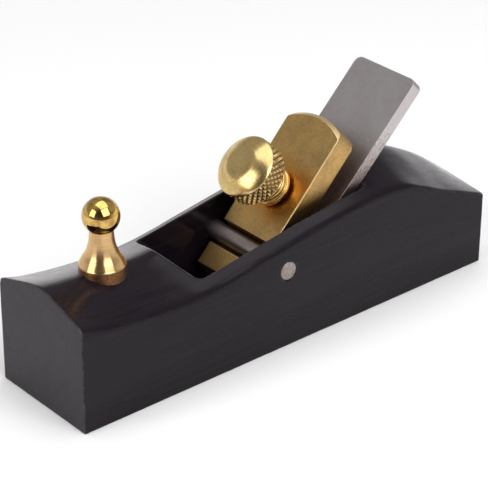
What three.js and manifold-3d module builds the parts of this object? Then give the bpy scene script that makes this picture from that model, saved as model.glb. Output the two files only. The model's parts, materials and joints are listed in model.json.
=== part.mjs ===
// Small hand plane with an ebony stock, a bedded steel iron, a brass lever cap held by a
// cross pin, a knurled thumb screw and a turned brass front knob.
// Millimetres, +Z up. Origin at the centre of the sole; +X runs from the toe to the heel.
import * as THREE from 'three';
import { mergeVertices } from 'three/addons/utils/BufferGeometryUtils.js';
import Module from 'manifold-3d';

const wasm = await Module();
wasm.setup();

// Stock
const BODY_LENGTH = 120;
const BODY_WIDTH = 30;
const SHOULDER_ROUND = 1.4;
const RIDGE_SOFTNESS = 0.16;
const SECTION_COUNT = 32;
const ROOF_STEPS = 6;

// Height of the long top edge above the sole, then of the ridge between them, as [x, z].
const SHOULDER_POINTS = [
  [-60, 25.7], [-54, 24.1], [-44, 22.85], [-33, 22.25], [-24, 22.6], [-10, 24.9], [4, 27.2],
  [18, 29], [27, 29.5], [34, 28.8], [41, 26.1], [48, 23], [55, 20.4], [60, 18.5],
];
const RIDGE_POINTS = [
  [-60, 29.7], [-52, 28.6], [-42, 27.9], [-33, 27.5], [-26, 28], [-12, 30], [4, 32.3],
  [16, 33.6], [25, 33.9], [33, 33.3], [40.7, 31.6], [47, 28.7], [52, 25.8], [57, 22.2], [60, 19.9],
];

// Throat, bed and mouth
const THROAT_WIDTH = 22.8;
const THROAT_CORNER = 1.2;
const THROAT_FRONT = new THREE.Vector2(-29, 27.6);
const FRONT_WALL_ANGLE = THREE.MathUtils.degToRad(48);
const FRONT_WALL_FOOT = 10.9;
const MOUTH_FRONT = -13.3;
const BED_ANGLE = THREE.MathUtils.degToRad(45);

// Iron
const IRON_WIDTH = 19.6;
const IRON_THICKNESS = 3.2;
const IRON_LENGTH = 73.5;
const IRON_EDGE_X = -11.6;
const IRON_BEVEL = THREE.MathUtils.degToRad(30);
const IRON_CORNER = 1.8;
const GAP = 0.3;

// Cross pin
const PIN_X = -2.5;
const PIN_Z = 19.4;
const PIN_DIAMETER = 4.5;
const PIN_LENGTH = 29.8;
const PIN_HOLE_GAP = 0.15;

// Lever cap, in its own frame: u runs up the cap from the pin's axis, v points out of its face.
const CAP_ANGLE = THREE.MathUtils.degToRad(46.9);
const CAP_WIDTH = 17.4;
const CAP_FACE = 2;
const CAP_BACK = -4;
const CAP_TOP = 34.5;
const CAP_TOP_RADIUS = 17;
const CAP_TOP_CORNER = 2.6;
const CAP_CHAMFER = 0.9;
const NOSE_FRONT = -8.5;
const NOSE_HEEL = -11;
const GROOVE_RADIUS = 2.65;
const GROOVE_HALF_WIDTH = 3.1;

// Thumb screw, on the cap's v axis
const SCREW_U = 14.8;
const HEAD_RADIUS = 7.6;
const HEAD_ROOT = 7.15;
const HEAD_BASE = 9;
const KNURL_TOP = 14.1;
const KNURL_TEETH = 36;
const HEAD_CROWN = [
  [7.5, 14.1], [7.5, 14.25], [7.35, 14.45], [7, 14.8], [6.4, 15.27], [5.6, 15.76], [4.6, 16.17],
  [3.5, 16.4], [2.5, 16.49], [0, 16.5],
];
const COLLAR_RADIUS = 4.8;
const COLLAR_BASE = 2.9;
const STUD_DIAMETER = 4;
const STUD_TIP = -7.45;
const STUD_TOP = 11.5;
const STUD_CHAMFER = 0.4;

// Front knob
const KNOB_X = -43.2;
const KNOB_FOOT_RADIUS = 5.3;
const KNOB_RIM_Z = 29.8;
const KNOB_NECK_RADIUS = 2.65;
const KNOB_BALL_RADIUS = 4.2;
const KNOB_BALL_Z = 41.1;
const KNOB_STUD_DIAMETER = 3;
const KNOB_STUD_LOW = 16;
const KNOB_STUD_HIGH = 34;

const ROUND_SEGMENTS = 32;

// Boolean helpers
function toSolid(geometry) {
  const bare = geometry.clone();
  bare.deleteAttribute('normal');
  bare.deleteAttribute('uv');
  const merged = mergeVertices(bare, 1e-5);
  return new wasm.Manifold(new wasm.Mesh({
    numProp: 3,
    vertProperties: new Float32Array(merged.attributes.position.array),
    triVerts: new Uint32Array(merged.index.array),
  }));
}

function toGeometry(solid) {
  const mesh = solid.getMesh();
  const geometry = new THREE.BufferGeometry();
  geometry.setAttribute('position', new THREE.BufferAttribute(mesh.vertProperties, 3));
  geometry.setIndex(new THREE.BufferAttribute(mesh.triVerts, 1));
  geometry.computeVertexNormals();
  return geometry;
}

function namedMesh(name, solid, color, roughness, metalness) {
  const material = new THREE.MeshStandardMaterial({ color, roughness, metalness });
  const mesh = new THREE.Mesh(toGeometry(solid), material);
  mesh.name = name;
  return mesh;
}

// A side outline in x and z, extruded across the plane and centred on y = 0.
function acrossPlane(points, width) {
  const shape = new THREE.Shape(points.map(([x, z]) => new THREE.Vector2(x, z)));
  const geometry = new THREE.ExtrudeGeometry(shape, { depth: width, bevelEnabled: false });
  geometry.rotateX(Math.PI / 2);
  geometry.translate(0, width / 2, 0);
  return geometry;
}

// A plan outline in x and y, extruded upwards from low to high.
function upwards(shape, low, high, curveSegments = 10) {
  const options = { depth: high - low, bevelEnabled: false, curveSegments };
  const geometry = new THREE.ExtrudeGeometry(shape, options);
  geometry.translate(0, 0, low);
  return geometry;
}

// A profile of [radius, height] pairs turned about the z axis.
function turned(profile, segments = ROUND_SEGMENTS) {
  const points = profile.map(([r, z]) => new THREE.Vector2(r, z));
  const geometry = new THREE.LatheGeometry(points, segments);
  geometry.rotateX(Math.PI / 2);
  return geometry;
}

function rod(radius, low, high, segments = ROUND_SEGMENTS) {
  return turned([[0, low], [radius, low], [radius, high], [0, high]], segments);
}

// Heights along the stock, read from a smooth curve through the control points.
function heightCurve(points) {
  const curve = new THREE.SplineCurve(points.map(([x, z]) => new THREE.Vector2(x, z)));
  const samples = curve.getPoints(400);
  return (x) => {
    const index = samples.findIndex((p) => p.x >= x - 1e-9);
    const right = samples[Math.max(index, 1)];
    const left = samples[Math.max(index, 1) - 1];
    return THREE.MathUtils.mapLinear(x, left.x, right.x, left.y, right.y);
  };
}

const shoulderHeight = heightCurve(SHOULDER_POINTS);
const ridgeHeight = heightCurve(RIDGE_POINTS);

// The top is a low gable with a softened ridge between the two shoulder edges.
function roofHeight(x, y) {
  const t = Math.abs(y) / (BODY_WIDTH / 2);
  const soft = Math.hypot(t, RIDGE_SOFTNESS) - RIDGE_SOFTNESS;
  const fall = soft / (Math.hypot(1, RIDGE_SOFTNESS) - RIDGE_SOFTNESS);
  return THREE.MathUtils.lerp(ridgeHeight(x), shoulderHeight(x), fall);
}

// The blank is a straight extrusion whose top vertices are then lifted onto the roof.
function stockBlank(lift) {
  const half = BODY_WIDTH / 2;
  const inner = half - SHOULDER_ROUND;
  const nominal = 100;
  const top = [];
  for (let i = 0; i <= 3; i += 1) {
    const a = (i / 3) * (Math.PI / 2);
    top.push([inner + SHOULDER_ROUND * Math.cos(a), nominal - SHOULDER_ROUND * (1 - Math.sin(a))]);
  }
  for (let i = 1; i < 2 * ROOF_STEPS; i += 1) {
    top.push([inner * (1 - i / ROOF_STEPS), nominal]);
  }
  for (let i = 3; i >= 0; i -= 1) {
    const a = (i / 3) * (Math.PI / 2);
    top.push([-inner - SHOULDER_ROUND * Math.cos(a), nominal - SHOULDER_ROUND * (1 - Math.sin(a))]);
  }
  const outline = [[-half, 0], [half, 0], ...top].map(([y, z]) => new THREE.Vector2(y, z));
  const geometry = new THREE.ExtrudeGeometry(new THREE.Shape(outline), {
    depth: BODY_LENGTH, steps: SECTION_COUNT, bevelEnabled: false,
  });
  geometry.rotateX(Math.PI / 2);
  geometry.rotateZ(Math.PI / 2);
  geometry.translate(-BODY_LENGTH / 2, 0, 0);
  const position = geometry.attributes.position;
  for (let i = 0; i < position.count; i += 1) {
    const z = position.getZ(i);
    if (z > 1) {
      const x = THREE.MathUtils.clamp(position.getX(i), -BODY_LENGTH / 2, BODY_LENGTH / 2);
      position.setZ(i, roofHeight(x, position.getY(i)) - (nominal - z) + lift);
    }
  }
  return toSolid(geometry);
}

// The bed frame puts the iron's edge at its origin, x up the bed and z out of the iron's face.
function bedFrame(solid) {
  return solid.rotate([0, -THREE.MathUtils.radToDeg(BED_ANGLE), 0]).translate([IRON_EDGE_X, 0, 0]);
}

function throatSolid() {
  const high = 46;
  const bedShift = (IRON_THICKNESS + GAP) * Math.SQRT2;
  const bedX = (z) => IRON_EDGE_X + bedShift + z;
  const wallX = (z) => THROAT_FRONT.x - (z - THROAT_FRONT.y) / Math.tan(FRONT_WALL_ANGLE);
  const foot = FRONT_WALL_FOOT;
  const upper = toSolid(acrossPlane([
    [wallX(foot), foot], [bedX(foot), foot], [bedX(high), high], [wallX(high), high],
  ], THROAT_WIDTH));
  const lower = toSolid(acrossPlane([
    [MOUTH_FRONT, -1], [bedX(-1), -1], [bedX(foot + 0.5), foot + 0.5],
    [wallX(foot + 0.5), foot + 0.5], [wallX(foot), foot],
  ], THROAT_WIDTH));
  const half = THROAT_WIDTH / 2;
  const r = THROAT_CORNER;
  const plan = new THREE.Shape();
  plan.moveTo(60, -half);
  plan.lineTo(60, half);
  plan.lineTo(r, half);
  plan.absarc(r, half - r, r, Math.PI / 2, Math.PI, false);
  plan.lineTo(0, -half + r);
  plan.absarc(r, -half + r, r, Math.PI, 1.5 * Math.PI, false);
  plan.closePath();
  const lean = THREE.MathUtils.radToDeg(Math.PI / 2 - FRONT_WALL_ANGLE);
  const rounded = toSolid(upwards(plan, -60, 60, 4))
    .rotate([0, -lean, 0])
    .translate([THROAT_FRONT.x, 0, THROAT_FRONT.y]);
  return upper.intersect(rounded).add(lower);
}

function bodySolid() {
  const pinHole = toSolid(rod(PIN_DIAMETER / 2 + PIN_HOLE_GAP, -20, 20))
    .rotate([90, 0, 0])
    .translate([PIN_X, 0, PIN_Z]);
  const knobHole = toSolid(rod(KNOB_STUD_DIAMETER / 2 + GAP, KNOB_STUD_LOW - GAP, 40, 24))
    .translate([KNOB_X, 0, 0]);
  return stockBlank(0).subtract(throatSolid()).subtract(pinHole).subtract(knobHole);
}

function ironSolid() {
  const bevelEnd = IRON_THICKNESS / Math.tan(IRON_BEVEL);
  const side = toSolid(acrossPlane([
    [0, 0], [bevelEnd, -IRON_THICKNESS], [IRON_LENGTH, -IRON_THICKNESS], [IRON_LENGTH, 0],
  ], IRON_WIDTH));
  const half = IRON_WIDTH / 2;
  const r = IRON_CORNER;
  const plan = new THREE.Shape();
  plan.moveTo(-1, -half);
  plan.lineTo(IRON_LENGTH - r, -half);
  plan.absarc(IRON_LENGTH - r, -half + r, r, -Math.PI / 2, 0, false);
  plan.lineTo(IRON_LENGTH, half - r);
  plan.absarc(IRON_LENGTH - r, half - r, r, 0, Math.PI / 2, false);
  plan.lineTo(-1, half);
  plan.closePath();
  return bedFrame(side.intersect(toSolid(upwards(plan, -10, 10))));
}

function pinSolid() {
  const r = PIN_DIAMETER / 2;
  const h = PIN_LENGTH / 2;
  const c = 0.25;
  const profile = [[0, -h], [r - c, -h], [r, -h + c], [r, h - c], [r - c, h], [0, h]];
  return toSolid(turned(profile)).rotate([90, 0, 0]).translate([PIN_X, 0, PIN_Z]);
}

// The cap frame puts the pin's axis at its origin, x up the cap and z out of its face.
function capFrame(solid) {
  return solid.rotate([0, -THREE.MathUtils.radToDeg(CAP_ANGLE), 0]).translate([PIN_X, 0, PIN_Z]);
}

// Height of the iron's front face over the cap's u axis, in the cap frame.
function ironFaceV(u) {
  const tilt = CAP_ANGLE - BED_ANGLE;
  const dx = PIN_X - IRON_EDGE_X;
  const above = (PIN_Z - dx) * Math.SQRT1_2;
  return -(above + u * Math.sin(tilt)) / Math.cos(tilt);
}

function capSolid() {
  const landEnd = NOSE_HEEL + 4;
  const groove = [];
  for (let i = 0; i <= 12; i += 1) {
    const a = Math.PI + (i / 12) * Math.PI;
    groove.push([GROOVE_RADIUS * Math.cos(a), GROOVE_RADIUS * Math.sin(a)]);
  }
  const side = toSolid(acrossPlane([
    [NOSE_FRONT, CAP_FACE],
    [NOSE_HEEL, ironFaceV(NOSE_HEEL) + GAP],
    [landEnd, ironFaceV(landEnd) + GAP],
    [-3.4, -5.3], [4.6, -5.3], [8.6, CAP_BACK],
    [CAP_TOP + 1, CAP_BACK], [CAP_TOP + 1, CAP_FACE],
    [GROOVE_HALF_WIDTH, CAP_FACE],
    ...groove.reverse(),
    [-GROOVE_HALF_WIDTH, CAP_FACE],
  ], CAP_WIDTH));

  const half = CAP_WIDTH / 2;
  const plan = new THREE.Shape();
  const centre = CAP_TOP - CAP_TOP_RADIUS;
  const r = CAP_TOP_CORNER;
  const cornerY = half - r;
  const cornerX = centre + Math.sqrt((CAP_TOP_RADIUS - r) ** 2 - cornerY ** 2);
  const turn = Math.atan2(cornerY, cornerX - centre);
  plan.moveTo(-20, -half);
  plan.lineTo(cornerX, -half);
  plan.absarc(cornerX, -cornerY, r, -Math.PI / 2, -turn, false);
  plan.absarc(centre, 0, CAP_TOP_RADIUS, -turn, turn, false);
  plan.absarc(cornerX, cornerY, r, turn, Math.PI / 2, false);
  plan.lineTo(-20, half);
  plan.closePath();

  const big = CAP_TOP_RADIUS + 2;
  const ring = toSolid(turned([
    [CAP_TOP_RADIUS - CAP_CHAMFER, CAP_FACE],
    [CAP_TOP_RADIUS + 0.1, CAP_FACE - CAP_CHAMFER - 0.1],
    [big, CAP_FACE - CAP_CHAMFER - 0.1],
    [big, CAP_FACE + 1],
    [CAP_TOP_RADIUS - CAP_CHAMFER, CAP_FACE + 1],
    [CAP_TOP_RADIUS - CAP_CHAMFER, CAP_FACE],
  ], 96)).translate([centre, 0, 0]);
  const topOnly = toSolid(new THREE.BoxGeometry(20, 40, 20)).translate([CAP_TOP + 4, 0, 0]);
  const hole = toSolid(rod(STUD_DIAMETER / 2 + 0.1, -20, 20, 32)).translate([SCREW_U, 0, 0]);
  return capFrame(side
    .intersect(toSolid(upwards(plan, -20, 20, 12)))
    .subtract(ring.intersect(topOnly))
    .subtract(hole));
}

function screwHeadSolid() {
  const core = toSolid(turned([
    [0, COLLAR_BASE], [COLLAR_RADIUS - 0.5, COLLAR_BASE], [COLLAR_RADIUS, COLLAR_BASE + 0.6],
    [COLLAR_RADIUS, COLLAR_BASE + 2.4], [COLLAR_RADIUS - 0.5, COLLAR_BASE + 2.9],
    [COLLAR_RADIUS - 0.5, HEAD_BASE],
    [HEAD_ROOT, HEAD_BASE], [HEAD_ROOT, KNURL_TOP], ...HEAD_CROWN,
  ]));
  const teeth = [];
  for (let i = 0; i < 2 * KNURL_TEETH; i += 1) {
    const a = (i / KNURL_TEETH) * Math.PI;
    const r = i % 2 ? HEAD_ROOT : HEAD_RADIUS;
    teeth.push(new THREE.Vector2(r * Math.cos(a), r * Math.sin(a)));
  }
  const knurl = toSolid(upwards(new THREE.Shape(teeth), HEAD_BASE, KNURL_TOP));
  const socket = toSolid(rod(STUD_DIAMETER / 2 + GAP, 0, STUD_TOP + GAP, 32));
  return capFrame(core.add(knurl).subtract(socket).translate([SCREW_U, 0, 0]));
}

// The threaded studs are plain rods at the thread's outside diameter, chamfered at both ends.
function studRod(radius, low, high, segments) {
  const c = STUD_CHAMFER;
  return toSolid(turned([
    [0, low], [radius - c, low], [radius, low + c], [radius, high - c], [radius - c, high], [0, high],
  ], segments));
}

function screwStudSolid() {
  const stud = studRod(STUD_DIAMETER / 2, STUD_TIP, STUD_TOP, 24);
  return capFrame(stud.translate([SCREW_U, 0, 0]));
}

function knobSolid() {
  const ballJoin = KNOB_BALL_Z - Math.sqrt(KNOB_BALL_RADIUS ** 2 - KNOB_NECK_RADIUS ** 2);
  const flare = new THREE.SplineCurve([
    new THREE.Vector2(KNOB_FOOT_RADIUS - 0.05, KNOB_RIM_Z),
    new THREE.Vector2(4.55, KNOB_RIM_Z + 1.15),
    new THREE.Vector2(3.55, KNOB_RIM_Z + 2.9),
    new THREE.Vector2(2.9, KNOB_RIM_Z + 5.2),
    new THREE.Vector2(KNOB_NECK_RADIUS, ballJoin),
  ]).getPoints(10).map((p) => [p.x, p.y]);
  const start = Math.atan2(ballJoin - KNOB_BALL_Z, KNOB_NECK_RADIUS);
  const ball = [];
  for (let i = 1; i <= 14; i += 1) {
    const a = THREE.MathUtils.lerp(start, Math.PI / 2, i / 14);
    const r = i === 14 ? 0 : KNOB_BALL_RADIUS * Math.cos(a);
    ball.push([r, KNOB_BALL_Z + KNOB_BALL_RADIUS * Math.sin(a)]);
  }
  const low = 22;
  const profile = [
    [0, low], [KNOB_FOOT_RADIUS, low], [KNOB_FOOT_RADIUS, KNOB_RIM_Z - 0.25], ...flare, ...ball,
  ];
  const socket = toSolid(rod(KNOB_STUD_DIAMETER / 2 + GAP, 20, KNOB_STUD_HIGH + GAP, 24));
  return toSolid(turned(profile))
    .subtract(socket)
    .translate([KNOB_X, 0, 0])
    .subtract(stockBlank(0.15));
}

function knobStudSolid() {
  const stud = studRod(KNOB_STUD_DIAMETER / 2, KNOB_STUD_LOW, KNOB_STUD_HIGH, 16);
  return stud.translate([KNOB_X, 0, 0]);
}

const plane = new THREE.Group();
plane.name = 'hand_plane';
plane.add(namedMesh('body', bodySolid(), 0x1d191b, 0.5, 0));
plane.add(namedMesh('cross_pin', pinSolid(), 0x8a8684, 0.4, 1));
plane.add(namedMesh('iron', ironSolid(), 0x8c8787, 0.5, 1));
plane.add(namedMesh('lever_cap', capSolid(), 0xb08d4a, 0.35, 1));
plane.add(namedMesh('thumb_screw_head', screwHeadSolid(), 0xc9a85c, 0.3, 1));
plane.add(namedMesh('thumb_screw_stud', screwStudSolid(), 0x7d7b79, 0.4, 1));
plane.add(namedMesh('front_knob', knobSolid(), 0xcda24c, 0.25, 1));
plane.add(namedMesh('knob_stud', knobStudSolid(), 0x7d7b79, 0.4, 1));

export default plane;
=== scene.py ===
"""Looks of the small ebony hand plane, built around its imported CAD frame."""
import json
import math

import bmesh
import bpy
import numpy as np
from mathutils import Matrix, Vector, noise


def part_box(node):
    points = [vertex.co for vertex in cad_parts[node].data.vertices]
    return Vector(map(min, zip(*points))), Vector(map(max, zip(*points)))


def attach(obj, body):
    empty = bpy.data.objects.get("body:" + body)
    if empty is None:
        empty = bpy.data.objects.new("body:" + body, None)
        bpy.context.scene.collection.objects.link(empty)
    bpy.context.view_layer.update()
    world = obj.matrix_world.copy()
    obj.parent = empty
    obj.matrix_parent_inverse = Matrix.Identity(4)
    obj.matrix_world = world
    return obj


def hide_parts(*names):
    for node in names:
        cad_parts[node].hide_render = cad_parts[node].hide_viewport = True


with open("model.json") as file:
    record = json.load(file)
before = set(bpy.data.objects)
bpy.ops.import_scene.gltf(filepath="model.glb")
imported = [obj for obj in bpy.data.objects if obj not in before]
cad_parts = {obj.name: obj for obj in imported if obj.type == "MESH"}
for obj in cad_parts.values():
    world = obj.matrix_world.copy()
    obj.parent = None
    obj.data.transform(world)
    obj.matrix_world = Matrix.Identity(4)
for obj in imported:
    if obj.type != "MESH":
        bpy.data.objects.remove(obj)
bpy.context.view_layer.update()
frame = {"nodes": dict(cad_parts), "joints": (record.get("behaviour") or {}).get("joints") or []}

MM = 0.001

# ---------------------------------------------------------------- frame facts
joints = {j["name"]: j for j in frame["joints"]}
BODY_LOW, BODY_HIGH = (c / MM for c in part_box("body"))
IRON_LOW, IRON_HIGH = (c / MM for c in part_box("iron"))
CAP_LOW, CAP_HIGH = (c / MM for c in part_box("lever_cap"))
PIN_LOW, PIN_HIGH = (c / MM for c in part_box("cross_pin"))
KNOB_LOW, KNOB_HIGH = (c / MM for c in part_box("front_knob"))

LENGTH = BODY_HIGH.x - BODY_LOW.x
WIDTH = BODY_HIGH.y - BODY_LOW.y
PIN = Vector(joints["cap_tilt"]["pos_m"]) / MM
SCREW_AXIS = Vector(joints["screw_turn"]["axis"])
SCREW_POS = Vector(joints["screw_turn"]["pos_m"]) / MM
CAP_ANGLE = math.atan2(-SCREW_AXIS.x, SCREW_AXIS.z)
CAP_FRAME = Matrix.Translation(PIN) @ Matrix.Rotation(-CAP_ANGLE, 4, "Y")
SCREW_U = (SCREW_POS - PIN).length
SCREW_FRAME = CAP_FRAME @ Matrix.Translation((SCREW_U, 0, 0))
BED_AXIS = Vector(joints["iron_slide"]["axis"])
BED_ANGLE = math.atan2(BED_AXIS.z, BED_AXIS.x)
IRON_EDGE_X = IRON_LOW.x
BED_FRAME = Matrix.Translation((IRON_EDGE_X, 0, 0)) @ Matrix.Rotation(-BED_ANGLE, 4, "Y")
KNOB_X = (KNOB_LOW.x + KNOB_HIGH.x) / 2
KNOB_FRAME = Matrix.Translation((KNOB_X, 0, 0))

# ---------------------------------------------------------------- camera
CAMERA_AZIMUTH = -40.547
CAMERA_ELEVATION = 28.501
CAMERA_ROLL = 0.376
CAMERA_DISTANCE = 461.18
CAMERA_AIM = Vector((-16.12, -15.27, 31.17))
CAMERA_LENS = 156.34


def camera_axes():
    azimuth, elevation = math.radians(CAMERA_AZIMUTH), math.radians(CAMERA_ELEVATION)
    back = Vector((
        math.sin(azimuth) * math.cos(elevation),
        -math.cos(azimuth) * math.cos(elevation),
        math.sin(elevation),
    ))
    right = Vector((math.cos(azimuth), math.sin(azimuth), 0))
    up = back.cross(right)
    roll = math.radians(CAMERA_ROLL)
    return (
        math.cos(roll) * right + math.sin(roll) * up,
        math.cos(roll) * up - math.sin(roll) * right,
        back,
    )


def make_camera():
    right, up, back = camera_axes()
    data = bpy.data.cameras.new("camera")
    data.lens = CAMERA_LENS
    data.sensor_width = 36
    data.clip_start = 0.01
    data.clip_end = 20
    camera = bpy.data.objects.new("camera", data)
    place = (CAMERA_AIM + back * CAMERA_DISTANCE) * MM
    camera.matrix_world = Matrix((
        (right.x, up.x, back.x, place.x),
        (right.y, up.y, back.y, place.y),
        (right.z, up.z, back.z, place.z),
        (0, 0, 0, 1),
    ))
    bpy.context.scene.collection.objects.link(camera)
    bpy.context.scene.camera = camera


make_camera()


# ---------------------------------------------------------------- mesh helpers
def link(obj):
    bpy.context.scene.collection.objects.link(obj)
    return obj


def mesh_object(name, verts, faces, place=None, smooth=True):
    """An object whose mesh, given in millimetres, is placed in the row frame in metres."""
    mesh = bpy.data.meshes.new(name)
    mesh.from_pydata([tuple(v) for v in verts], [], faces)
    if place is not None:
        mesh.transform(place)
    mesh.transform(Matrix.Scale(MM, 4))
    mesh.update()
    bm = bmesh.new()
    bm.from_mesh(mesh)
    bmesh.ops.recalc_face_normals(bm, faces=bm.faces)
    bm.to_mesh(mesh)
    bm.free()
    obj = link(bpy.data.objects.new(name, mesh))
    if smooth:
        mesh.polygons.foreach_set("use_smooth", [True] * len(mesh.polygons))
    return obj


def apply_modifiers(obj):
    depsgraph = bpy.context.evaluated_depsgraph_get()
    evaluated = obj.evaluated_get(depsgraph)
    mesh = bpy.data.meshes.new_from_object(evaluated, depsgraph=depsgraph)
    old = obj.data
    obj.modifiers.clear()
    obj.data = mesh
    bpy.data.meshes.remove(old)
    return obj


def smooth_by_angle(obj, degrees):
    """Smooth shading everywhere, with edges sharper than the angle kept sharp."""
    mesh = obj.data
    bm = bmesh.new()
    bm.from_mesh(mesh)
    limit = math.radians(degrees)
    for face in bm.faces:
        face.smooth = True
    for edge in bm.edges:
        edge.smooth = len(edge.link_faces) == 2 and edge.calc_face_angle(0) < limit
    bm.to_mesh(mesh)
    bm.free()


def boolean(obj, tool, operation):
    modifier = obj.modifiers.new("boolean", "BOOLEAN")
    modifier.operation = operation
    modifier.object = tool
    modifier.solver = "EXACT"
    bpy.context.view_layer.update()
    apply_modifiers(obj)
    bpy.data.objects.remove(tool)
    return obj


def bevel(obj, width, segments=2, angle=30):
    modifier = obj.modifiers.new("bevel", "BEVEL")
    modifier.width = width * MM
    modifier.segments = segments
    modifier.limit_method = "ANGLE"
    modifier.angle_limit = math.radians(angle)
    modifier.use_clamp_overlap = True
    weighted = obj.modifiers.new("weighted", "WEIGHTED_NORMAL")
    weighted.keep_sharp = True
    obj.data.polygons.foreach_set("use_smooth", [True] * len(obj.data.polygons))
    bpy.context.view_layer.update()
    return apply_modifiers(obj)


def prism(name, outline, low, high, axis="z", place=None, smooth=False):
    """An outline of (a, b) pairs swept along an axis: z takes (x, y), y takes (x, z)."""
    count = len(outline)
    verts = []
    for level in (low, high):
        for a, b in outline:
            verts.append((a, b, level) if axis == "z" else (a, level, b))
    faces = [tuple(range(count)), tuple(range(count, 2 * count))]
    for i in range(count):
        j = (i + 1) % count
        faces.append((i, j, count + j, count + i))
    return mesh_object(name, verts, faces, place, smooth)


def lathe(name, profile, segments, place=None, radius_at=None):
    """A profile of (radius, height) pairs, axis to axis, turned about z."""
    verts, rings = [], []
    for r, z in profile:
        if r < 1e-6:
            rings.append([len(verts)])
            verts.append((0, 0, z))
            continue
        ring = []
        for k in range(segments):
            a = 2 * math.pi * k / segments
            rr = r if radius_at is None else radius_at(r, z, a)
            ring.append(len(verts))
            verts.append((rr * math.cos(a), rr * math.sin(a), z))
        rings.append(ring)
    faces = []
    for lower, upper in zip(rings, rings[1:]):
        for k in range(segments):
            n = (k + 1) % segments
            if len(lower) == 1:
                faces.append((lower[0], upper[k], upper[n]))
            elif len(upper) == 1:
                faces.append((lower[k], lower[n], upper[0]))
            else:
                faces.append((lower[k], lower[n], upper[n], upper[k]))
    return mesh_object(name, verts, faces, place)


def arc(cx, cy, r, start, end, count):
    """Points on an arc, angles in degrees, both ends included."""
    points = []
    for i in range(count + 1):
        a = math.radians(start + (end - start) * i / count)
        points.append((cx + r * math.cos(a), cy + r * math.sin(a)))
    return points


def spline(points, count):
    """A uniform Catmull-Rom curve through the points, as the CAD draws it."""
    def at(p0, p1, p2, p3, t):
        v0, v1 = (p2 - p0) / 2, (p3 - p1) / 2
        return (
            (2 * p1 - 2 * p2 + v0 + v1) * t ** 3
            + (-3 * p1 + 3 * p2 - 2 * v0 - v1) * t * t + v0 * t + p1
        )
    last = len(points) - 1
    out = []
    for i in range(count + 1):
        p = last * i / count
        k = min(int(p), last - 1)
        t = p - k
        quad = [points[max(k - 1, 0)], points[k], points[k + 1], points[min(k + 2, last)]]
        out.append(tuple(at(*(q[d] for q in quad), t) for d in (0, 1)))
    return out


# ---------------------------------------------------------------- stock
SHOULDER_POINTS = [
    (-60, 25.7), (-54, 24.1), (-44, 22.85), (-33, 22.25), (-24, 22.6), (-10, 24.9), (4, 27.2),
    (18, 29), (27, 29.5), (34, 28.8), (41, 26.1), (48, 23), (55, 20.4), (60, 18.5),
]
RIDGE_POINTS = [
    (-60, 29.7), (-52, 28.6), (-42, 27.9), (-33, 27.5), (-26, 28), (-12, 30), (4, 32.3),
    (16, 33.6), (25, 33.9), (33, 33.3), (40.7, 31.6), (47, 28.7), (52, 25.8), (57, 22.2),
    (60, 19.9),
]
SHOULDER_CURVE = spline(SHOULDER_POINTS, 400)
RIDGE_CURVE = spline(RIDGE_POINTS, 400)
RIDGE_SOFTNESS = 0.16
SHOULDER_ROUND = 1.4
HEEL_SHOULDER_ROUND = 0.45
THROAT_WIDTH = 22.8
THROAT_CORNER = 1.2
THROAT_FRONT = (-29, 27.6)
FRONT_WALL_ANGLE = math.radians(48)
FRONT_WALL_FOOT = 10.9
MOUTH_FRONT = -13.3
IRON_THICKNESS = 3.2
BED_GAP = 0.12
THROAT_REACH = 46
STOCK_STATIONS = 120
ROOF_STEPS = 18
ROUND_STEP = 15
ROUND_TIGHTENS_FROM = 28
ROUND_TIGHTENS_OVER = 18
STOCK_VOXEL = 0.2
STOCK_ROUNDS = 18
STOCK_CONVEXITY_REACH = 3
HAND_FINISH = 0.035
PIN_HOLE_GAP = 0.06
KNOB_SOCKET_RADIUS = 1.8
KNOB_SOCKET_LOW = 15.7


def curve_height(curve, x):
    x = min(max(x, curve[0][0]), curve[-1][0])
    low, high = 0, len(curve) - 1
    while high - low > 1:
        middle = (low + high) // 2
        if curve[middle][0] <= x:
            low = middle
        else:
            high = middle
    (x0, z0), (x1, z1) = curve[low], curve[high]
    return z0 + (z1 - z0) * (x - x0) / (x1 - x0)


def roof_height(x, y):
    t = abs(y) / (WIDTH / 2)
    soft = math.hypot(t, RIDGE_SOFTNESS) - RIDGE_SOFTNESS
    fall = soft / (math.hypot(1, RIDGE_SOFTNESS) - RIDGE_SOFTNESS)
    ridge, shoulder = curve_height(RIDGE_CURVE, x), curve_height(SHOULDER_CURVE, x)
    return ridge + (shoulder - ridge) * fall


def stock_blank():
    """The block with its gabled top, as rings across the stock from toe to heel."""
    half = WIDTH / 2
    top = []
    for a in range(0, 90, ROUND_STEP):
        top.append((1 - math.cos(math.radians(a)), 1 - math.sin(math.radians(a))))
    verts, faces = [], []
    for s in range(STOCK_STATIONS + 1):
        x = BODY_LOW.x + LENGTH * s / STOCK_STATIONS
        t = min(max((x - ROUND_TIGHTENS_FROM) / ROUND_TIGHTENS_OVER, 0), 1)
        r = SHOULDER_ROUND + (HEEL_SHOULDER_ROUND - SHOULDER_ROUND) * t * t * (3 - 2 * t)
        ring = [(-half, None), (half, None)]
        ring += [(half - r * inward, r * drop) for inward, drop in top]
        ring += [((half - r) * (1 - i / ROOF_STEPS), 0) for i in range(2 * ROOF_STEPS + 1)]
        ring += [(r * inward - half, r * drop) for inward, drop in reversed(top)]
        for y, drop in ring:
            verts.append((x, y, 0 if drop is None else roof_height(x, y) - drop))
    n = len(ring)
    for s in range(STOCK_STATIONS):
        for k in range(n):
            j = (k + 1) % n
            faces.append((s * n + k, s * n + j, (s + 1) * n + j, (s + 1) * n + k))
    faces.append(tuple(range(n)))
    faces.append(tuple(range(STOCK_STATIONS * n, (STOCK_STATIONS + 1) * n)))
    return mesh_object("stock", verts, faces)


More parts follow.
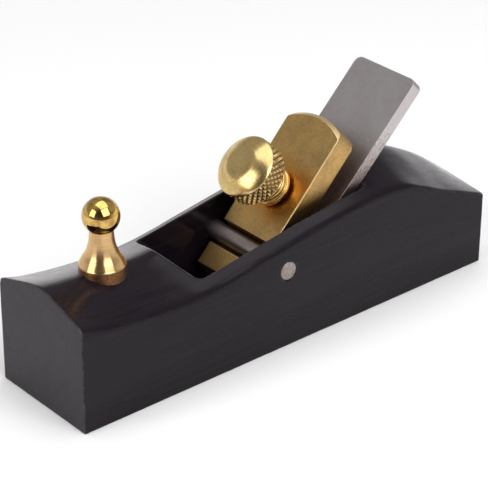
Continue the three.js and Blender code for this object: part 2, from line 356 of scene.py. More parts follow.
def throat_tool():
    high = THROAT_REACH
    bed_shift = (IRON_THICKNESS + BED_GAP) * math.sqrt(2)
    foot = FRONT_WALL_FOOT

    def bed_x(z):
        return IRON_EDGE_X + bed_shift + z

    def wall_x(z):
        return THROAT_FRONT[0] - (z - THROAT_FRONT[1]) / math.tan(FRONT_WALL_ANGLE)

    half = THROAT_WIDTH / 2
    upper = prism("throat", [
        (wall_x(foot - 0.05), foot - 0.05), (bed_x(foot - 0.05), foot - 0.05),
        (bed_x(high), high), (wall_x(high), high),
    ], -half, half, axis="y")
    r = THROAT_CORNER
    plan = [(60, -half), (60, half)]
    plan += arc(r, half - r, r, 90, 180, 8) + arc(r, -half + r, r, 180, 270, 8)
    lean = math.pi / 2 - FRONT_WALL_ANGLE
    place = Matrix.Translation((THROAT_FRONT[0], 0, THROAT_FRONT[1]))
    place = place @ Matrix.Rotation(-lean, 4, "Y")
    boolean(upper, prism("plan", plan, -60, 60, place=place), "INTERSECT")
    lower = prism("mouth", [
        (MOUTH_FRONT, -1), (bed_x(-1), -1), (bed_x(foot + 0.5), foot + 0.5),
        (wall_x(foot + 0.5), foot + 0.5), (wall_x(foot), foot),
    ], -half, half, axis="y")
    return boolean(upper, lower, "UNION")


def soften(obj, voxel, rounds):
    """Remeshes evenly and smooths, so that every edge is slightly rounded over."""
    remesh = obj.modifiers.new("remesh", "REMESH")
    remesh.mode = "VOXEL"
    remesh.voxel_size = voxel * MM
    remesh.use_smooth_shade = True
    smoothing = obj.modifiers.new("soften", "SMOOTH")
    smoothing.factor = 0.5
    smoothing.iterations = rounds
    bpy.context.view_layer.update()
    apply_modifiers(obj)


def mark_convexity(obj, voxel, reach):
    """Marks convex edges: how far each point stands out from its neighbours' average."""
    mesh = obj.data
    count = len(mesh.vertices)
    places, normals = np.empty(count * 3), np.empty(count * 3)
    mesh.vertices.foreach_get("co", places)
    mesh.vertices.foreach_get("normal", normals)
    places, normals = places.reshape(-1, 3), normals.reshape(-1, 3)
    edges = np.empty(len(mesh.edges) * 2, dtype=np.int64)
    mesh.edges.foreach_get("vertices", edges)
    a, b = edges.reshape(-1, 2).T
    degree = np.bincount(a, minlength=count) + np.bincount(b, minlength=count)

    def average(values):
        total = np.bincount(a, weights=values[b], minlength=count)
        return (total + np.bincount(b, weights=values[a], minlength=count)) / degree

    around = np.stack([average(places[:, i]) for i in range(3)], axis=1)
    out = ((places - around) * normals).sum(axis=1)
    for _ in range(reach):
        out = (out + average(out)) / 2
    marks = mesh.attributes.new("convexity", "FLOAT", "POINT")
    marks.data.foreach_set("value", out / (voxel * MM))


def roughen(obj, amount):
    """Hand-finished unevenness along the normals, kept inside the CAD's own box."""
    mesh = obj.data
    places = [v.co.copy() for v in mesh.vertices]
    normals = [v.normal.copy() for v in mesh.vertices]
    low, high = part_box("body")
    flat = []
    for place, normal in zip(places, normals):
        p = place / MM
        wave = noise.noise(Vector((p.x / 9, p.y / 6, p.z / 6)))
        fine = noise.noise(Vector((p.x / 3.1 + 40, p.y / 2.2, p.z / 2.2)))
        place += normal * (amount * (wave + 0.35 * fine) * MM)
        flat += [min(max(place[i], low[i]), high[i]) for i in range(3)]
    mesh.vertices.foreach_set("co", flat)
    mesh.update()


def make_stock():
    stock = stock_blank()
    boolean(stock, throat_tool(), "DIFFERENCE")
    r = (PIN_HIGH.x - PIN_LOW.x) / 2 + PIN_HOLE_GAP
    across = Matrix.Translation(PIN) @ Matrix.Rotation(math.pi / 2, 4, "X")
    hole = lathe("hole", [(0, -20), (r, -20), (r, 20), (0, 20)], 64, across)
    boolean(stock, hole, "DIFFERENCE")
    r, low = KNOB_SOCKET_RADIUS, KNOB_SOCKET_LOW
    socket = lathe("socket", [(0, low), (r, low), (r, 40), (0, 40)], 32, KNOB_FRAME)
    boolean(stock, socket, "DIFFERENCE")
    soften(stock, STOCK_VOXEL, STOCK_ROUNDS)
    mark_convexity(stock, STOCK_VOXEL, STOCK_CONVEXITY_REACH)
    roughen(stock, HAND_FINISH)
    stock.data.polygons.foreach_set("use_smooth", [True] * len(stock.data.polygons))
    return stock


# ---------------------------------------------------------------- cross pin
PIN_EDGE_ROUND = 0.28
PIN_ROUND_STEPS = (0, 0.4, 0.8, 1.2, 1.57)
PIN_DENTS = 0.004


def make_pin():
    r = (PIN_HIGH.x - PIN_LOW.x) / 2
    h = (PIN_HIGH.y - PIN_LOW.y) / 2
    c = PIN_EDGE_ROUND
    profile = [(0, -h)]
    profile += [(r - c + c * math.sin(a), -h + c - c * math.cos(a)) for a in PIN_ROUND_STEPS]
    profile += [(r, z) for z in (-h * 0.6, 0, h * 0.6)]
    profile += [(r - c + c * math.cos(a), h - c + c * math.sin(a)) for a in PIN_ROUND_STEPS]
    profile.append((0, h))

    def dented(radius, z, a):
        around = Vector((3 * math.cos(a), 3 * math.sin(a), z / 2))
        return radius * (1 + PIN_DENTS * noise.noise(around))

    place = Matrix.Translation(PIN) @ Matrix.Rotation(math.pi / 2, 4, "X")
    pin = lathe("steel_cross_pin", profile, 64, place, dented)
    smooth_by_angle(pin, 40)
    return pin


# ---------------------------------------------------------------- iron
IRON_CORNER = 1.8
IRON_BEVEL = math.radians(30)
IRON_EDGE_BEVEL = 0.16


def make_iron():
    width = IRON_HIGH.y - IRON_LOW.y
    length = (IRON_HIGH.x - IRON_EDGE_X) * math.sqrt(2) - IRON_THICKNESS
    half = width / 2
    r = IRON_CORNER
    bevel_end = IRON_THICKNESS / math.tan(IRON_BEVEL)
    top = arc(length - r, -half + r, r, -90, 0, 10) + arc(length - r, half - r, r, 0, 90, 10)
    front = [(0, -half), *top, (0, half)]
    back = [(bevel_end, -half), *top, (bevel_end, half)]
    n = len(front)
    verts = [(u, y, 0) for u, y in front] + [(u, y, -IRON_THICKNESS) for u, y in back]
    faces = [tuple(range(n)), tuple(range(n, 2 * n))]
    for i in range(n):
        j = (i + 1) % n
        faces.append((i, j, n + j, n + i))
    iron = mesh_object("steel_iron", verts, faces, BED_FRAME, smooth=False)
    bevel(iron, IRON_EDGE_BEVEL, 2, 25)
    return iron


# ---------------------------------------------------------------- lever cap
CAP_FACE = 2
CAP_BACK = -4
CAP_TOP = 34.5
CAP_TOP_RADIUS = 17
CAP_TOP_CORNER = 2.6
CAP_CHAMFER = 0.9
NOSE_FRONT = -8.5
NOSE_HEEL = -11
GROOVE_RADIUS = 2.65
GROOVE_HALF_WIDTH = 3.1
NOSE_TOUCH = 0.04
TAPPED_GAP = 0.08
CAP_VOXEL = 0.13
CAP_ROUNDS = 5
CAP_CONVEXITY_REACH = 2
STUD_RADIUS = 2


def iron_face_v(u):
    """The iron's front face over the cap's u axis, in the cap frame."""
    tilt = CAP_ANGLE - BED_ANGLE
    above = (PIN.z - (PIN.x - IRON_EDGE_X)) / math.sqrt(2)
    return -(above + u * math.sin(tilt)) / math.cos(tilt)


def cap_plan():
    """The cap seen along v: straight sides, rounded corners and the top's arc."""
    half, r = (CAP_HIGH.y - CAP_LOW.y) / 2, CAP_TOP_CORNER
    centre = CAP_TOP - CAP_TOP_RADIUS
    corner_y = half - r
    corner_x = centre + math.sqrt((CAP_TOP_RADIUS - r) ** 2 - corner_y ** 2)
    turn = math.degrees(math.atan2(corner_y, corner_x - centre))
    outline = [(-20, -half)] + arc(corner_x, -corner_y, r, -90, -turn, 10)
    outline += arc(centre, 0, CAP_TOP_RADIUS, -turn, turn, 40)[1:-1]
    return outline + arc(corner_x, corner_y, r, turn, 90, 10) + [(-20, half)]


def make_cap():
    half = (CAP_HIGH.y - CAP_LOW.y) / 2
    land_end = NOSE_HEEL + 4
    groove = arc(0, 0, GROOVE_RADIUS, 180, 360, 20)[::-1]
    cap = prism("brass_lever_cap", [
        (NOSE_FRONT, CAP_FACE), (NOSE_HEEL, iron_face_v(NOSE_HEEL) + NOSE_TOUCH),
        (land_end, iron_face_v(land_end) + NOSE_TOUCH), (-3.4, -5.3), (4.6, -5.3),
        (8.6, CAP_BACK),
        (CAP_TOP + 1, CAP_BACK), (CAP_TOP + 1, CAP_FACE), (GROOVE_HALF_WIDTH, CAP_FACE),
        *groove, (-GROOVE_HALF_WIDTH, CAP_FACE),
    ], -half, half, axis="y")
    boolean(cap, prism("plan", cap_plan(), -20, 20), "INTERSECT")
    # a cone around the top's own centre trims the face back to the chamfer
    r, low = CAP_TOP_RADIUS - CAP_CHAMFER, CAP_FACE - CAP_CHAMFER
    big = 40
    trim = lathe("trim", [
        (r, CAP_FACE), (CAP_TOP_RADIUS + 0.3, low - 0.3), (big, low - 0.3), (big, CAP_FACE + 2),
        (r, CAP_FACE + 2), (r, CAP_FACE),
    ], 240, Matrix.Translation((CAP_TOP - CAP_TOP_RADIUS, 0, 0)))
    keep = prism("keep", [(24, -30), (60, -30), (60, 30), (24, 30)], -30, 30)
    boolean(cap, boolean(trim, keep, "INTERSECT"), "DIFFERENCE")
    r = STUD_RADIUS + TAPPED_GAP
    place = Matrix.Translation((SCREW_U, 0, 0))
    tapped = lathe("tapped", [(0, -20), (r, -20), (r, 20), (0, 20)], 48, place)
    boolean(cap, tapped, "DIFFERENCE")
    soften(cap, CAP_VOXEL, CAP_ROUNDS)
    mark_convexity(cap, CAP_VOXEL, CAP_CONVEXITY_REACH)
    metres = Matrix.Scale(MM, 4) @ CAP_FRAME @ Matrix.Scale(1 / MM, 4)
    cap.data.transform(metres)
    cap.data.update()
    return cap


# ---------------------------------------------------------------- thumb screw
HEAD_RADIUS = 7.6
HEAD_BASE = 9
KNURL_TOP = 14.1
KNURL_STARTS = 32
KNURL_PITCH = 1.75
KNURL_DEPTH = 0.5
KNURL_START = 0.15
SOCKET_TOP = 11.8
STUD_LOW = -7.45
STUD_HIGH = 11.5
THREAD_PITCH = 0.7
THREAD_DEPTH = 0.32
COLLAR = [
    (4.4, 2.92), (4.68, 3.0), (4.78, 3.25), (4.78, 3.65), (4.68, 3.9), (4.42, 4.02),
    (4.36, 4.15), (4.42, 4.28), (4.64, 4.42), (4.72, 4.7), (4.72, 5.2), (4.62, 5.5),
    (4.3, 5.7), (4.18, 6.1), (4.18, 7.6), (4.35, 8.3), (4.8, 8.8), (5.6, 8.99), (6.7, 9.0),
]
HEAD_CROWN = [
    (7.28, 14.14), (7.42, 14.2), (7.46, 14.3), (7.35, 14.47), (7, 14.78), (6.4, 15.18),
    (5.6, 15.62), (4.8, 15.99), (4, 16.3), (3.3, 16.45), (2.6, 16.48), (1.2, 16.48), (0, 16.48),
]


def knurl_height(z, a):
    """0 in a groove, 1 on a diamond's crest: two crossed families of V grooves."""
    turns = KNURL_STARTS * a / (2 * math.pi)
    rise = (z - HEAD_BASE) / KNURL_PITCH
    first = abs(((turns + rise) % 1) - 0.5) * 2
    second = abs(((turns - rise) % 1) - 0.5) * 2
    return 1 - max(first, second)


def make_head():
    root = HEAD_RADIUS - KNURL_DEPTH
    profile = [(0, SOCKET_TOP), (STUD_RADIUS, SOCKET_TOP), (STUD_RADIUS, COLLAR[0][1])]
    profile += spline(COLLAR, 60) + [(root - 0.1, HEAD_BASE + 0.03)]
    rows = 64
    span = KNURL_TOP - HEAD_BASE - KNURL_START
    for i in range(rows + 1):
        profile.append((root, HEAD_BASE + KNURL_START + span * i / rows))
    profile += spline(HEAD_CROWN, 55)[:-1] + [HEAD_CROWN[-1]]

    def crest(r, z, a):
        if abs(r - root) > 1e-6:
            return 0
        fade = min(1, (z - HEAD_BASE) / 0.4, (KNURL_TOP + 0.02 - z) / 0.35)
        return knurl_height(z, a) * max(fade, 0)

    segments = KNURL_STARTS * 14
    head = lathe(
        "brass_screw_head", profile, segments, SCREW_FRAME,
        lambda r, z, a: r + KNURL_DEPTH * crest(r, z, a),
    )
    # how far each knurled point stands out of its groove, for the grime and painted shade in the
    # grooves
    marks = head.data.attributes.new("valley", "FLOAT", "POINT")
    inverse = SCREW_FRAME.inverted()
    values = []
    for v in head.data.vertices:
        p = inverse @ (v.co / MM)
        r = math.hypot(p.x, p.y)
        in_band = root - 0.01 <= r and HEAD_BASE + 0.1 < p.z < KNURL_TOP + 0.01
        values.append(1 - (r - root) / KNURL_DEPTH if in_band else 0)
    marks.data.foreach_set("value", values)
    smooth_by_angle(head, 50)
    return head


def make_stud(name, radius, low, high, pitch, depth, place, segments=36):
    """A steel stud with a single-start helical V thread that fades out at both ends."""
    per_turn = 6
    count = int((high - low) / pitch * per_turn)
    profile = [(0, low), (radius - depth, low)]
    for i in range(1, count):
        profile.append((radius, low + (high - low) * i / count))
    profile += [(radius - depth, high), (0, high)]

    def thread(r, z, a):
        if abs(r - radius) > 1e-6:
            return r
        phase = ((z - low) / pitch - a / (2 * math.pi)) % 1
        ends = min(1, (z - low) / pitch, (high - z) / pitch)
        return radius - depth * (1 - ends * (1 - abs(phase - 0.5) * 2))

    stud = lathe(name, profile, segments, place, thread)
    smooth_by_angle(stud, 60)
    return stud


# ---------------------------------------------------------------- front knob
FOOT_RADIUS = 5.3
RIM_Z = 29.8
NECK_RADIUS = 2.65
BALL_RADIUS = 4.2
BALL_Z = 41.1
BALL_STEPS = 40
FOOT_LOW = 24.0
FOOT_LIFT = 0.02


def make_knob():
    join = BALL_Z - math.sqrt(BALL_RADIUS ** 2 - NECK_RADIUS ** 2)
    flare = spline([
        (FOOT_RADIUS - 0.18, RIM_Z + 0.02), (4.55, RIM_Z + 1.15), (3.55, RIM_Z + 2.9),
        (2.9, RIM_Z + 5.2), (NECK_RADIUS, join),
    ], 44)
    rim = [
        (FOOT_RADIUS, RIM_Z - 2.2), (FOOT_RADIUS, RIM_Z - 1.2), (FOOT_RADIUS, RIM_Z - 0.4),
        (FOOT_RADIUS - 0.03, RIM_Z - 0.22), (FOOT_RADIUS - 0.1, RIM_Z - 0.08),
    ]
    start = math.atan2(join - BALL_Z, NECK_RADIUS)
    ball = []
    for i in range(1, BALL_STEPS + 1):
        a = start + (math.pi / 2 - start) * i / BALL_STEPS
        r = 0 if i == BALL_STEPS else BALL_RADIUS * math.cos(a)
        ball.append((r, BALL_Z + BALL_RADIUS * math.sin(a)))
    profile = [(0, FOOT_LOW), (FOOT_RADIUS - 0.02, FOOT_LOW), *rim, *flare, *ball]
    knob = lathe("brass_front_knob", profile, 96, KNOB_FRAME)
    # the foot's lower ring follows the gabled wood that it sits on
    for v in knob.data.vertices:
        p = v.co / MM
        if p.z < FOOT_LOW + 0.01:
            v.co.z = (roof_height(p.x, p.y) + FOOT_LIFT) * MM
    smooth_by_angle(knob, 35)
    return knob


# ---------------------------------------------------------------- build all
stock = make_stock()
stock.name = "ebony_stock"
pin = make_pin()
iron = make_iron()
cap = make_cap()
head = make_head()
stud = make_stud(
    "steel_screw_stud", STUD_RADIUS, STUD_LOW, STUD_HIGH, THREAD_PITCH, THREAD_DEPTH, SCREW_FRAME,
)
knob = make_knob()


# ---------------------------------------------------------------- materials
class Nodes:
    """Short names for building one material's node tree."""

    def __init__(self, name, metallic=0.0, specular=0.5):
        self.material = bpy.data.materials.new(name)
        self.material.use_nodes = True
        self.tree = self.material.node_tree
        self.shader = self.tree.nodes["Principled BSDF"]
        self.shader.inputs["Metallic"].default_value = metallic
        self.shader.inputs["Specular IOR Level"].default_value = specular
        self.coordinates = self.tree.nodes.new("ShaderNodeTexCoord").outputs["Object"]

    def join(self, source, target):
        self.tree.links.new(source, target)

    def add(self, kind, **values):
        node = self.tree.nodes.new(kind)
        for key, value in values.items():
            setattr(node, key, value)
        return node

    def mapped(self, scale, rotation=(0, 0, 0), location=(0, 0, 0)):
        """Object coordinates in millimetres, divided by the feature size on each axis."""
        node = self.add("ShaderNodeMapping")
        node.inputs["Location"].default_value = location
        node.inputs["Rotation"].default_value = rotation
        node.inputs["Scale"].default_value = tuple(1 / (s * MM) for s in scale)
        self.join(self.coordinates, node.inputs["Vector"])
        return node.outputs["Vector"]

    def noise(self, vector, detail=3, roughness=0.55, distortion=0.0):
        node = self.add("ShaderNodeTexNoise")
        node.inputs["Scale"].default_value = 1
        node.inputs["Detail"].default_value = detail
        node.inputs["Roughness"].default_value = roughness
        node.inputs["Distortion"].default_value = distortion
        self.join(vector, node.inputs["Vector"])
        return node.outputs["Fac"]

    def ramp(self, value, low, high, out_low=0.0, out_high=1.0):
        node = self.add("ShaderNodeMapRange")
        node.inputs["From Min"].default_value = low
        node.inputs["From Max"].default_value = high
        node.inputs["To Min"].default_value = out_low
        node.inputs["To Max"].default_value = out_high
        self.join(value, node.inputs["Value"])
        return node.outputs["Result"]

    def math(self, operation, a, b=0.0):
        node = self.add("ShaderNodeMath", operation=operation)
        for socket, value in zip(node.inputs, (a, b)):
            if isinstance(value, (int, float)):
                socket.default_value = value
            else:
                self.join(value, socket)
        return node.outputs["Value"]

    def mix(self, factor, a, b):
        node = self.add("ShaderNodeMix", data_type="RGBA")
        sockets = node.inputs["Factor"], node.inputs[6], node.inputs[7]
        for socket, value in zip(sockets, (factor, a, b)):
            if isinstance(value, (int, float)):
                socket.default_value = value
            elif isinstance(value, tuple):
                socket.default_value = (*value, 1)
            else:
                self.join(value, socket)
        return node.outputs[2]

    def bump(self, height, distance, strength=1.0):
        node = self.add("ShaderNodeBump")
        node.inputs["Strength"].default_value = strength
        node.inputs["Distance"].default_value = distance * MM
        self.join(height, node.inputs["Height"])
        self.join(node.outputs["Normal"], self.shader.inputs["Normal"])

    def colour(self, value):
        self.join(value, self.shader.inputs["Base Color"])

    def roughness(self, value):
        self.join(value, self.shader.inputs["Roughness"])


def ebony_material():
    n = Nodes("ebony", specular=0.16)
    streaks = n.noise(n.mapped((26, 1.1, 1.1)), 5, 0.6, 0.4)
    broad = n.noise(n.mapped((60, 9, 9)), 2)
    pores = n.noise(n.mapped((2.6, 0.16, 0.16)), 2, 0.5)
    pore_mask = n.ramp(pores, 0.66, 0.75)
    dust = n.noise(n.mapped((0.22, 0.22, 0.22)), 1, 0.4)
    dust_mask = n.ramp(dust, 0.76, 0.82)
    grain = n.mix(n.ramp(streaks, 0.3, 0.75), (0.0060, 0.0038, 0.0062), (0.0135, 0.0090, 0.0134))
    tinted = n.mix(n.ramp(broad, 0.42, 0.72, 0, 0.5), grain, (0.0150, 0.0108, 0.0160))
    # the toe and heel are end grain: paler and duller than the long faces
    normal = n.add("ShaderNodeSeparateXYZ")
    n.join(n.tree.nodes["Texture Coordinate"].outputs["Normal"], normal.inputs["Vector"])
    end_grain = n.ramp(n.math("ABSOLUTE", normal.outputs["X"]), 0.75, 0.95)
    end = n.mix(n.ramp(streaks, 0.3, 0.75), (0.0188, 0.0142, 0.0196), (0.0295, 0.0228, 0.0305))
    ended = n.mix(end_grain, tinted, end)
    pored = n.mix(pore_mask, ended, (0.004, 0.0035, 0.0035))
    # convex edges are painted paler in patches: partly wear, partly a painted highlight along the
    # rounded edges
    convexity = n.add("ShaderNodeAttribute", attribute_name="convexity").outputs["Fac"]
    patchy = n.ramp(n.noise(n.mapped((4, 2, 2)), 4, 0.7), 0.4, 0.65)
    edge_wear_and_highlight = n.math("MULTIPLY", n.ramp(convexity, 0.02, 0.09), patchy)
    with_edge_wear_and_highlight = n.mix(n.math("MULTIPLY", edge_wear_and_highlight, 0.7), pored, (0.12, 0.108, 0.11))
    dusty = n.mix(n.math("MULTIPLY", dust_mask, 0.5), with_edge_wear_and_highlight, (0.13, 0.12, 0.125))
    # painted sheen: grey mixed into the colour at glancing angles on upward faces, in patches,
    # standing in for the reflection of the bright surroundings
    glancing = n.add("ShaderNodeLayerWeight").outputs["Facing"]
    sheen_patches = n.noise(n.mapped((9, 1.2, 1.2)), 4, 0.65)
    painted_sheen = n.ramp(glancing, 0.5, 0.95, 0, 0.9)
    painted_sheen = n.math("MULTIPLY", painted_sheen, n.ramp(sheen_patches, 0.3, 0.65, 0.6, 1))
    painted_sheen = n.math("MULTIPLY", painted_sheen, n.ramp(normal.outputs["Z"], 0.3, 0.6))
    n.colour(n.mix(painted_sheen, dusty, (0.30, 0.285, 0.30)))
    wax = n.noise(n.mapped((7, 4, 4)), 3)
    smear = n.ramp(wax, 0.3, 0.75, 0.12, 0.24)
    n.roughness(n.math("ADD", smear, n.math("MULTIPLY", pore_mask, 0.2)))
    fibres = n.noise(n.mapped((5, 0.3, 0.3)), 3, 0.6)
    raised, sunk = n.math("MULTIPLY", fibres, 0.35), n.math("MULTIPLY", pore_mask, 0.8)
    height = n.math("SUBTRACT", raised, sunk)
    n.bump(n.math("ADD", height, n.math("MULTIPLY", dust_mask, 0.4)), 0.012, 0.6)
    return n.material


def brass(n, bright, dull, rough, grain_scale, rotation=(0, 0, 0)):
    """Brass with faint tarnish clouds, dark specks and a fine directional finish."""
    clouds = n.noise(n.mapped((5, 5, 5)), 4, 0.6)
    grain = n.noise(n.mapped(grain_scale, rotation), 3, 0.6)
    speck = n.noise(n.mapped((0.2, 0.2, 0.2)), 1)
    mottle = n.noise(n.mapped((0.5, 0.5, 0.5)), 3, 0.7)
    broken = n.math("ADD", clouds, n.ramp(mottle, 0.3, 0.7, -0.16, 0.16))
    toned = n.mix(n.ramp(broken, 0.35, 0.72), bright, dull)
    speckled = n.mix(n.ramp(speck, 0.62, 0.78, 0, 0.4), toned, tuple(c * 0.45 for c in dull))
    spread = n.ramp(clouds, 0.3, 0.75, rough - 0.04, rough + 0.06)
    return speckled, n.math("ADD", spread, n.ramp(grain, 0.3, 0.8, 0, 0.06)), grain


def from_axis(n, point, axis):
    """Distance in millimetres of the shaded point from a line."""
    offset = n.add("ShaderNodeVectorMath", operation="SUBTRACT")
    n.join(n.coordinates, offset.inputs[0])
    offset.inputs[1].default_value = tuple(c * MM for c in point)
    cross = n.add("ShaderNodeVectorMath", operation="CROSS_PRODUCT")
    n.join(offset.outputs["Vector"], cross.inputs[0])
    cross.inputs[1].default_value = tuple(axis)
    length = n.add("ShaderNodeVectorMath", operation="LENGTH")
    n.join(cross.outputs["Vector"], length.inputs[0])
    return n.math("DIVIDE", length.outputs["Value"], MM)


def cap_material():
    """Sanded brass: redder and ringed around the screw, paler along its edges and chamfer, partly
    burnished and partly painted highlight.
    """
    n = Nodes("sanded_brass", metallic=1.0)
    colour, rough, grain = brass(
        n, (0.60, 0.375, 0.135), (0.38, 0.245, 0.095), 0.32, (1.1, 0.13, 1.1), (0, CAP_ANGLE, 0),
    )
    away = from_axis(n, SCREW_POS, SCREW_AXIS)
    patches = n.ramp(n.noise(n.mapped((3, 3, 3)), 4, 0.65), 0.35, 0.65, -1.6, 1.6)
    warm = n.ramp(n.math("ADD", away, patches), 4.5, 9.5, 0.85, 0)
    warmed = n.mix(warm, colour, (0.64, 0.30, 0.06))
    convexity = n.add("ShaderNodeAttribute", attribute_name="convexity").outputs["Fac"]
    facing = []
    for axis in ((1, 0, 0), (0, 0, 1)):
        dot = n.add("ShaderNodeVectorMath", operation="DOT_PRODUCT")
        n.join(n.tree.nodes["Texture Coordinate"].outputs["Normal"], dot.inputs[0])
        dot.inputs[1].default_value = tuple(CAP_FRAME.to_3x3() @ Vector(axis))
        facing.append(n.ramp(dot.outputs["Value"], 0.3, 0.5))
    # the chamfer and convex edges are painted paler gold: partly burnished brass, partly a painted
    # highlight
    chamfer = n.math("MULTIPLY", n.math("MULTIPLY", *facing), 0.7)
    edge = n.math("MAXIMUM", n.ramp(convexity, 0.03, 0.12), chamfer)
    n.colour(n.mix(n.math("MULTIPLY", edge, 0.8), warmed, (0.92, 0.74, 0.42)))
    smooth = n.math("ADD", n.ramp(away, 4.5, 9, 0.12, 0), n.math("MULTIPLY", edge, 0.05))
    n.roughness(n.math("SUBTRACT", rough, smooth))
    rings = n.math("SINE", n.math("MULTIPLY", away, 2 * math.pi / 0.5))
    rings = n.math("MULTIPLY", rings, n.ramp(away, 5, 8.5, 0.5, 0))
    n.bump(n.math("ADD", grain, rings), 0.016, 0.8)
    return n.material


def head_material():
    """Turned brass, dull in the knurl's grooves and darkened there by grime and painted shade."""
    n = Nodes("turned_brass", metallic=1.0)
    colour, rough, grain = brass(n, (0.72, 0.53, 0.225), (0.50, 0.345, 0.14), 0.2, (0.4, 0.4, 0.4))
    valley = n.add("ShaderNodeAttribute", attribute_name="valley").outputs["Fac"]
    # the grooves are painted darker: partly grime, partly painted shade
    depth = n.ramp(valley, 0.45, 1.0)
    n.colour(n.mix(depth, colour, (0.15, 0.062, 0.022)))
    n.roughness(n.math("ADD", rough, n.math("MULTIPLY", depth, 0.2)))
    n.bump(grain, 0.008, 0.7)
    return n.material


def knob_material():
    """A polished ball on a turned cone, whose foot is left rough and dark."""
    n = Nodes("polished_brass", metallic=1.0)
    height = n.add("ShaderNodeSeparateXYZ")
    n.join(n.coordinates, height.inputs["Vector"])
    z = n.math("DIVIDE", height.outputs["Z"], MM)
    neck = BALL_Z - math.sqrt(BALL_RADIUS ** 2 - NECK_RADIUS ** 2)
    cone = n.ramp(z, neck + 0.05, neck - 0.05)
    foot = n.ramp(z, RIM_Z - 0.1, RIM_Z - 0.3)
    rings = n.noise(n.mapped((30, 30, 0.16)), 3, 0.7)
    scuffs = n.noise(n.mapped((0.35, 0.35, 0.35)), 3, 0.7)
    clouds = n.noise(n.mapped((2.5, 2.5, 2.5)), 4, 0.6)
    ball = n.mix(n.ramp(clouds, 0.42, 0.62), (0.70, 0.47, 0.14), (0.36, 0.19, 0.06))
    turned = n.mix(n.ramp(rings, 0.35, 0.65), (0.72, 0.47, 0.225), (0.58, 0.365, 0.165))
    dark = n.mix(n.ramp(scuffs, 0.4, 0.65), (0.16, 0.070, 0.032), (0.33, 0.17, 0.08))
    n.colour(n.mix(foot, n.mix(cone, ball, turned), dark))
    finish = n.math("ADD", n.ramp(clouds, 0.4, 0.7, 0.05, 0.1), n.math("MULTIPLY", cone, 0.17))
    n.roughness(n.math("ADD", finish, n.math("MULTIPLY", foot, 0.15)))
    n.join(n.math("MULTIPLY", cone, 0.85), n.shader.inputs["Anisotropic"])
    n.shader.inputs["Anisotropic Rotation"].default_value = 0.25
    around = n.add("ShaderNodeTangent", direction_type="RADIAL", axis="Z")
    n.join(around.outputs["Tangent"], n.shader.inputs["Tangent"])
    marks = n.math("MULTIPLY", rings, n.math("MULTIPLY", cone, 0.25))
    n.bump(n.math("ADD", marks, n.math("MULTIPLY", foot, scuffs)), 0.03, 0.6)
    return n.material


def steel(n, bright, dark, rough, grain_scale):
    clouds = n.noise(n.mapped((6, 6, 6)), 4, 0.6)
    grain = n.noise(n.mapped(grain_scale), 3, 0.7)
    toned = n.mix(n.ramp(clouds, 0.3, 0.7), dark, bright)
    pitted = n.mix(n.ramp(grain, 0.3, 0.42, 0.4, 0), toned, tuple(c * 0.5 for c in dark))
    return pitted, n.ramp(clouds, 0.3, 0.7, rough + 0.06, rough - 0.04), grain


def steel_material(name, bright, dark, rough, grain_scale, depth):
    n = Nodes(name, metallic=1.0)
    colour, roughness, grain = steel(n, bright, dark, rough, grain_scale)
    n.colour(colour)
    n.roughness(roughness)
    n.bump(grain, depth, 0.7)
    return n.material


def split(n):
    """The shaded point's x, y and z in millimetres."""
    parts = n.add("ShaderNodeSeparateXYZ")
    n.join(n.coordinates, parts.inputs["Vector"])
    return [n.math("DIVIDE", parts.outputs[axis], MM) for axis in "XYZ"]


def iron_material():
    """Ground steel; its long edges are pitted and bright, and stained brown low down."""
    n = Nodes("ground_steel", metallic=1.0)
    colour, roughness, grain = steel(
        n, (0.44, 0.412, 0.410), (0.34, 0.310, 0.308), 0.44, (0.3, 0.3, 0.3),
    )
    _, y, z = split(n)
    side = n.ramp(n.math("ABSOLUTE", y), IRON_HIGH.y - 0.25, IRON_HIGH.y - 0.1)
    pits = n.noise(n.mapped((0.5, 0.5, 0.5)), 4, 0.75)
    low = n.ramp(n.math("ADD", z, n.ramp(pits, 0.3, 0.7, -4, 4)), 41, 31)
    pitted = n.math("MULTIPLY", n.ramp(pits, 0.5, 0.38), n.ramp(z, 44, 33, 0.12, 1))
    edge = n.mix(pitted, (0.58, 0.535, 0.53), (0.20, 0.155, 0.15))
    ground = n.mix(side, colour, edge)
    stained = n.math("MULTIPLY", low, n.ramp(pits, 0.35, 0.62, 0.45, 0.85))
    n.colour(n.mix(stained, ground, (0.13, 0.062, 0.04)))
    n.roughness(roughness)
    n.bump(n.math("ADD", grain, n.math("MULTIPLY", side, pits)), 0.03, 0.7)
    return n.material


def pin_material():
    """Dull steel whose filed ends are bright and grainy."""
    n = Nodes("dull_steel", metallic=1.0)
    colour, roughness, grain = steel(
        n, (0.44, 0.37, 0.36), (0.26, 0.21, 0.205), 0.36, (0.35, 2.4, 0.35),
    )
    y = split(n)[1]
    end = n.ramp(n.math("ABSOLUTE", y), PIN_HIGH.y - 0.3, PIN_HIGH.y - 0.1)
    filed = n.noise(n.mapped((0.4, 0.4, 0.4)), 3, 0.7)
    disc = n.mix(n.ramp(filed, 0.38, 0.62), (0.22, 0.187, 0.18), (0.42, 0.37, 0.36))
    n.colour(n.mix(end, colour, disc))
    n.roughness(n.math("ADD", roughness, n.math("MULTIPLY", end, 0.08)))
    n.bump(n.math("ADD", grain, n.math("MULTIPLY", end, filed)), 0.02, 0.7)
    return n.material


def assign(obj, material):
    obj.data.materials.clear()
    obj.data.materials.append(material)


stud_steel = steel_material(
    "stud_steel", (0.4, 0.38, 0.37), (0.3, 0.28, 0.27), 0.35, (0.3, 0.3, 0.3), 0.01,
)
assign(stock, ebony_material())
assign(pin, pin_material())
assign(iron, iron_material())
assign(cap, cap_material())
assign(head, head_material())
assign(knob, knob_material())
assign(stud, stud_steel)
assign(frame["nodes"]["knob_stud"], stud_steel)


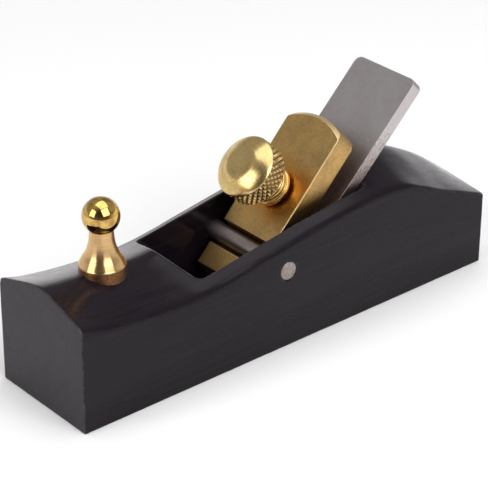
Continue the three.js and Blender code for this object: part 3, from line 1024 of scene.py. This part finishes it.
# ---------------------------------------------------------------- riding
for piece, body, node, slot in (
    (stock, "stock", "body", "ebony"),
    (pin, "stock", "cross_pin", "pin_steel"),
    (knob, "stock", "front_knob", "knob_brass"),
    (iron, "iron", "iron", "iron_steel"),
    (cap, "cap", "lever_cap", "cap_brass"),
    (stud, "screw", "thumb_screw_stud", "stud_steel"),
    (head, "screw_knob", "thumb_screw_head", "screw_brass"),
):
    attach(piece, body)
    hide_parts(node)


# ---------------------------------------------------------------- floor and light
DARK_SIDE = (-0.65, -0.76, 0)
FLOOR_HALF = 3000
FLOOR_TOP = -0.02
FLOOR_BOTTOM = -12
LIGHT_AIM = Vector((-5, 0, 25))


def make_floor():
    h = FLOOR_HALF
    floor = prism("floor", [(-h, -h), (h, -h), (h, h), (-h, h)], FLOOR_BOTTOM, FLOOR_TOP)
    n = Nodes("pale_floor", specular=0.2)
    tone = n.noise(n.mapped((300, 300, 300)), 2)
    n.colour(n.mix(tone, (0.93, 0.93, 0.93), (0.95, 0.95, 0.95)))
    n.shader.inputs["Roughness"].default_value = 0.8
    assign(floor, n.material)


def make_softbox(name, direction, distance, width, height, strength):
    """An area light at a direction from the plane, facing its middle."""
    data = bpy.data.lights.new(name, "AREA")
    data.shape = "RECTANGLE"
    data.size = width * MM
    data.size_y = height * MM
    data.energy = strength
    light = link(bpy.data.objects.new(name, data))
    light.location = (LIGHT_AIM + Vector(direction).normalized() * distance) * MM
    light.rotation_euler = Vector(direction).to_track_quat("Z", "Y").to_euler()


def make_world(horizon, sky, shade):
    """A bright band around the horizon under an even sky, darker on the viewer's side."""
    world = bpy.data.worlds.new("studio")
    bpy.context.scene.world = world
    world.use_nodes = True
    tree = world.node_tree
    direction = tree.nodes.new("ShaderNodeTexCoord")
    height = tree.nodes.new("ShaderNodeSeparateXYZ")
    toward = tree.nodes.new("ShaderNodeVectorMath")
    toward.operation = "DOT_PRODUCT"
    toward.inputs[1].default_value = DARK_SIDE
    product = tree.nodes.new("ShaderNodeMath")
    product.operation = "MULTIPLY"
    tree.links.new(direction.outputs["Generated"], height.inputs["Vector"])
    tree.links.new(direction.outputs["Generated"], toward.inputs[0])
    for source, low, high, start, end, socket in (
        (height.outputs["Z"], 0.06, 0.34, horizon, sky, 0),
        (toward.outputs["Value"], 0.1, 0.7, 1, shade, 1),
    ):
        level = tree.nodes.new("ShaderNodeMapRange")
        level.interpolation_type = "SMOOTHSTEP"
        level.inputs["From Min"].default_value = low
        level.inputs["From Max"].default_value = high
        level.inputs["To Min"].default_value = start
        level.inputs["To Max"].default_value = end
        tree.links.new(source, level.inputs["Value"])
        tree.links.new(level.outputs["Result"], product.inputs[socket])
    background = tree.nodes["Background"]
    background.inputs["Color"].default_value = (1, 1, 1, 1)
    tree.links.new(product.outputs["Value"], background.inputs["Strength"])


make_floor()
right, up, back = camera_axes()


def from_camera(side, lift):
    """A direction turned sideways and upwards from the camera's, in degrees."""
    side, lift = math.radians(side), math.radians(lift)
    return (
        right * math.sin(side) * math.cos(lift) + up * math.sin(lift)
        + back * math.cos(side) * math.cos(lift)
    )


make_softbox("left_box", from_camera(-46, 10), 900, 500, 540, 2.9)
make_softbox("right_box", from_camera(30, 17), 900, 680, 680, 5.2)
make_softbox("top_box", (0.1, 0.0, 1), 1000, 900, 900, 4.2)
make_world(1.1, 0.42, 0.2)

scene = bpy.context.scene
scene.view_settings.view_transform = "Standard"
scene.view_settings.look = "None"
